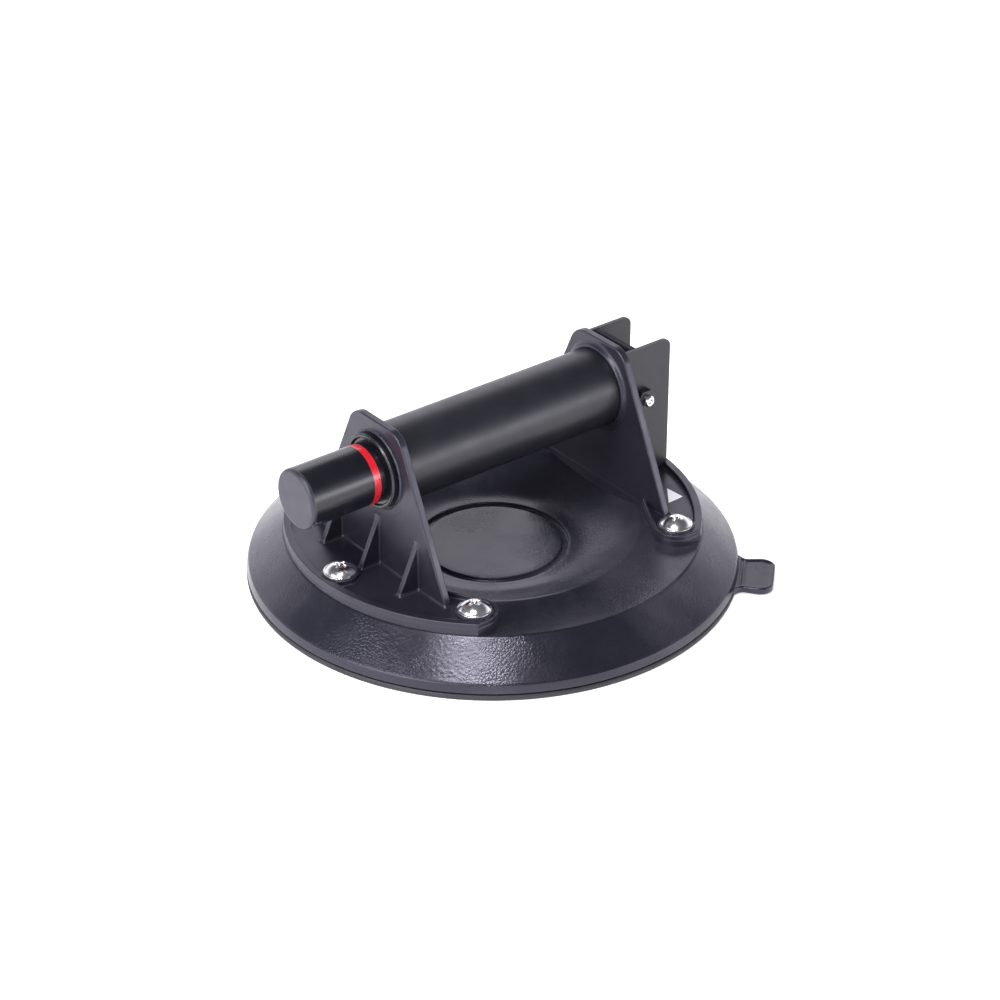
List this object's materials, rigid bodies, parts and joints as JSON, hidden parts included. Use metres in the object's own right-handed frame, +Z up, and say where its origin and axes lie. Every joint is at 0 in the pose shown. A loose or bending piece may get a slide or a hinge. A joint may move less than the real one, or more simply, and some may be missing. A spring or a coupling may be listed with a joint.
{
  "type": "vacuum suction cup",
  "caption": "Hand-held vacuum lifting cup: round dished rubber pad, two screwed feet with uprights, tubular handle with a spring-out pump plunger and red vacuum band, rear release lever.",
  "frame": {"origin": "centre of the pad's sealing plane, on the surface the cup is pressed against", "axes": "+Z up, away from the gripped surface; +X along the handle's axis from the pump plunger towards the release lever"},
  "size_m": [0.2006, 0.2006, 0.085],
  "materials": {
    "pad_rubber": "satin, grained skirt",
    "seal_rubber": "matte",
    "moulding": "satin, slight sheen",
    "black_metal": "satin black",
    "cap_plastic": "fine matte",
    "red_band": "gloss",
    "chrome": "polished",
    "steel": "plain",
    "brass": "machined",
    "pale_plastic": "natural",
    "label": "white film"
  },
  "bodies": {
    "base": {"rubber_pad": "pad_rubber", "lip_seal": "seal_rubber", "backing_plate": "steel", "threaded_inserts": "brass", "front_bracket": "moulding", "rear_bracket": "moulding", "foot_screws": "chrome", "grip_tube": "black_metal", "pump_barrel": "steel", "guide_bush": "moulding", "bezel_nut": "moulding", "return_spring": "steel", "valve_block": "pale_plastic", "barrel_seal": "seal_rubber", "inlet_spring": "steel", "inlet_retainer": "steel", "air_pipe": "brass", "manifold": "moulding", "manifold_screws": "steel", "stem_seal": "seal_rubber", "stem_spring": "steel", "lever_guard": "black_metal", "guard_screws": "steel", "lever_bolt": "chrome", "lever_nut": "black_metal", "vacuum_hose": "seal_rubber", "hose_clips": "steel", "port_fitting": "brass", "port_seal": "seal_rubber", "port_filter": "steel", "blank_label": "label"},
    "plunger": {"plunger_tube": "black_metal", "plunger_cap": "cap_plastic", "indicator_band": "red_band", "piston": "pale_plastic", "piston_seal": "seal_rubber", "exhaust_cage": "steel"},
    "exhaust_disc": {"exhaust_valve": "seal_rubber"},
    "inlet_disc": {"inlet_valve": "seal_rubber"},
    "release_lever": {"release_lever": "cap_plastic"},
    "release_stem": {"release_stem": "brass"}
  },
  "joints": [
    {"name": "plunger_slide", "type": "slide", "parent": "base", "child": "plunger", "axis": [1, 0, 0], "range_m": [0, 0.034], "stiffness_N_per_m": 450, "springref_m": -0.03, "deforming": ["return_spring"]},
    {"name": "exhaust_lift", "type": "slide", "parent": "plunger", "child": "exhaust_disc", "axis": [-1, 0, 0], "range_m": [0, 0.0011]},
    {"name": "inlet_lift", "type": "slide", "parent": "base", "child": "inlet_disc", "axis": [-1, 0, 0], "range_m": [0, 0.001], "stiffness_N_per_m": 150, "springref_m": -0.001, "deforming": ["inlet_spring"]},
    {"name": "lever_pivot", "type": "hinge", "parent": "base", "child": "release_lever", "pos_m": [0.0674, 0, 0.0592], "axis": [0, 1, 0], "range_deg": [0, 9]},
    {"name": "stem_slide", "type": "slide", "parent": "base", "child": "release_stem", "axis": [-1, 0, 0], "range_m": [0, 0.0022], "stiffness_N_per_m": 800, "springref_m": -0.002, "deforming": ["stem_spring"]}
  ],
  "couplings": [
    {"joint": "stem_slide", "follows": "lever_pivot", "m_per_rad": 0.0137}
  ]
}
